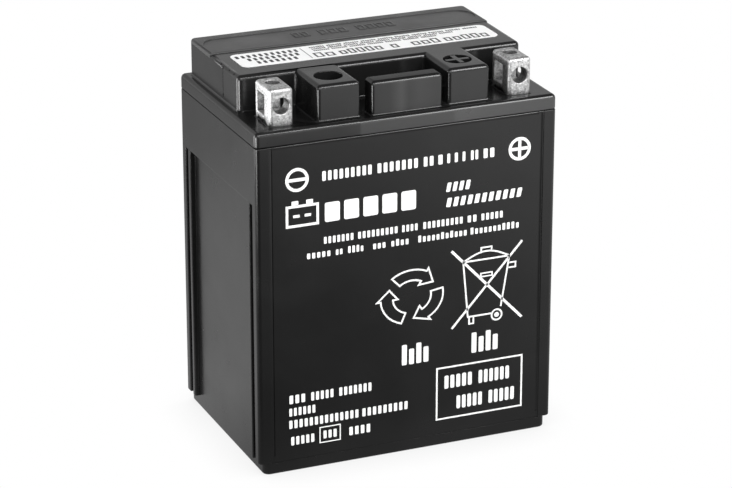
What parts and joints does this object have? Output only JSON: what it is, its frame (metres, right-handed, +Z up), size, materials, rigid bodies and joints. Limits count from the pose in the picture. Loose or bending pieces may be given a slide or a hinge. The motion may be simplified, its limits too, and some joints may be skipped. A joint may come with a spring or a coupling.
{
  "type": "motorcycle battery",
  "caption": "Upright sealed lead-acid motorcycle battery with a ribbed black case, stepped lid, long plug strip on top and two hollow bolt-on terminals.",
  "frame": {"origin": "middle of the flat underside", "axes": "+X along the length towards the positive terminal, +Y from the printed front face to the back, +Z up"},
  "size_m": [0.134, 0.089, 0.166],
  "materials": {
    "black_plastic": "satin moulded polypropylene",
    "label_paper": "white coated sticker",
    "terminal_lead": "bright cast lead alloy with a mottled crystal pattern",
    "cast_lead": "dull cast lead",
    "positive_paste": "matt lead dioxide paste",
    "negative_paste": "matt sponge lead paste",
    "glass_mat": "soft glass fibre mat",
    "rubber": "matt moulded rubber",
    "sintered_plastic": "porous sintered disc",
    "resin": "cast epoxy"
  },
  "bodies": {
    "battery": {"case": "black_plastic", "lid": "black_plastic", "valve_cover": "black_plastic", "top_label": "label_paper", "positive_plates_1": "positive_paste", "negative_plates_1": "negative_paste", "separator_mat_1": "glass_mat", "positive_plates_2": "positive_paste", "negative_plates_2": "negative_paste", "separator_mat_2": "glass_mat", "positive_plates_3": "positive_paste", "negative_plates_3": "negative_paste", "separator_mat_3": "glass_mat", "positive_plates_4": "positive_paste", "negative_plates_4": "negative_paste", "separator_mat_4": "glass_mat", "positive_plates_5": "positive_paste", "negative_plates_5": "negative_paste", "separator_mat_5": "glass_mat", "positive_plates_6": "positive_paste", "negative_plates_6": "negative_paste", "separator_mat_6": "glass_mat", "intercell_connector_1": "cast_lead", "intercell_connector_2": "cast_lead", "intercell_connector_3": "cast_lead", "intercell_connector_4": "cast_lead", "intercell_connector_5": "cast_lead", "flame_arrestor": "sintered_plastic", "terminal_negative": "terminal_lead", "terminal_seal_negative": "resin", "terminal_post_negative": "cast_lead", "terminal_positive": "terminal_lead", "terminal_seal_positive": "resin", "terminal_post_positive": "cast_lead"},
    "sealing_strip": {"sealing_strip": "black_plastic"},
    "relief_valve_1": {"relief_valve_1": "rubber"},
    "relief_valve_2": {"relief_valve_2": "rubber"},
    "relief_valve_3": {"relief_valve_3": "rubber"},
    "relief_valve_4": {"relief_valve_4": "rubber"},
    "relief_valve_5": {"relief_valve_5": "rubber"},
    "relief_valve_6": {"relief_valve_6": "rubber"}
  },
  "joints": [
    {"name": "sealing_strip_lift", "type": "slide", "parent": "battery", "child": "sealing_strip", "axis": [0, 0, 1], "range_m": [0, 0.012]},
    {"name": "relief_valve_1_lift", "type": "slide", "parent": "battery", "child": "relief_valve_1", "axis": [0, 0, 1], "range_m": [0, 0.0005], "stiffness_N_per_m": 500, "springref_m": -0.0005},
    {"name": "relief_valve_2_lift", "type": "slide", "parent": "battery", "child": "relief_valve_2", "axis": [0, 0, 1], "range_m": [0, 0.0005], "stiffness_N_per_m": 500, "springref_m": -0.0005},
    {"name": "relief_valve_3_lift", "type": "slide", "parent": "battery", "child": "relief_valve_3", "axis": [0, 0, 1], "range_m": [0, 0.0005], "stiffness_N_per_m": 500, "springref_m": -0.0005},
    {"name": "relief_valve_4_lift", "type": "slide", "parent": "battery", "child": "relief_valve_4", "axis": [0, 0, 1], "range_m": [0, 0.0005], "stiffness_N_per_m": 500, "springref_m": -0.0005},
    {"name": "relief_valve_5_lift", "type": "slide", "parent": "battery", "child": "relief_valve_5", "axis": [0, 0, 1], "range_m": [0, 0.0005], "stiffness_N_per_m": 500, "springref_m": -0.0005},
    {"name": "relief_valve_6_lift", "type": "slide", "parent": "battery", "child": "relief_valve_6", "axis": [0, 0, 1], "range_m": [0, 0.0005], "stiffness_N_per_m": 500, "springref_m": -0.0005}
  ]
}
